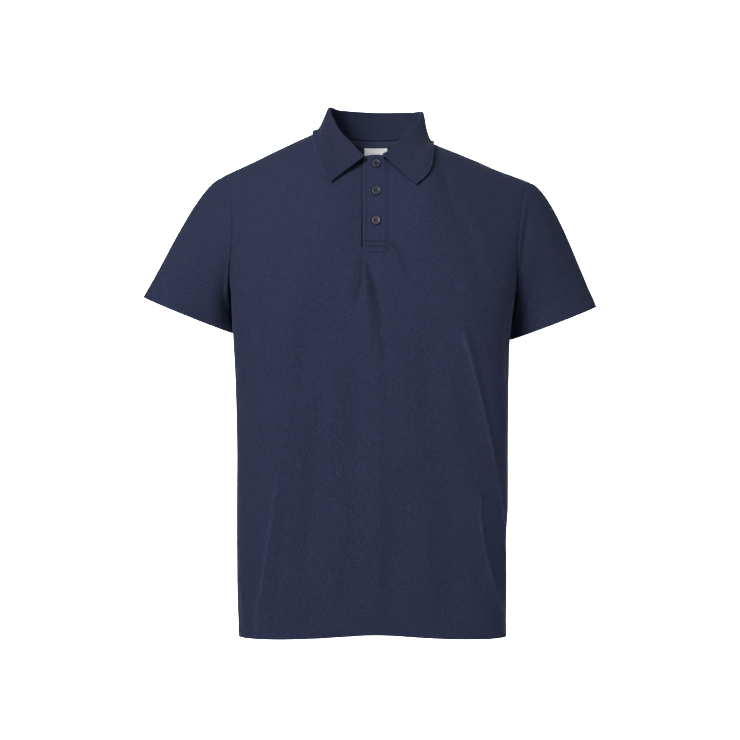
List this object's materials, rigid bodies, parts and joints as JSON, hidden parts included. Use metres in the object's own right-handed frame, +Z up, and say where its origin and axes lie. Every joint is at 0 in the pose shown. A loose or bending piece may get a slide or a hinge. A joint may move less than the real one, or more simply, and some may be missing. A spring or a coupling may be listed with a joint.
{
  "type": "polo shirt",
  "caption": "Short-sleeved knitted polo shirt in dark navy, filled out as worn, with a turned-down collar and a buttoned placket.",
  "frame": {"origin": "base of the neck, midway between the two high shoulder points, where the wearer's shoulders hold the shirt", "axes": "+Z up along the body, +X to the wearer's left (the viewer's right), +Y to the back, so the front faces -Y"},
  "size_m": [0.6588, 0.2454, 0.7648],
  "materials": {
    "pique_knit": "matt dark navy cotton pique",
    "flat_knit": "matt dark navy flat knit, finely ribbed",
    "neck_tape": "matt dark navy herringbone tape",
    "label_satin": "white woven satin, bare",
    "button": "satin dark grey-blue"
  },
  "bodies": {
    "root": {"front": "pique_knit", "back": "pique_knit", "sleeve_left": "pique_knit", "sleeve_right": "pique_knit", "collar": "flat_knit", "placket": "pique_knit", "under_placket": "pique_knit", "neck_tape": "neck_tape", "neck_label": "label_satin", "button_1": "button", "button_2": "button", "button_3": "button"}
  },
  "joints": []
}
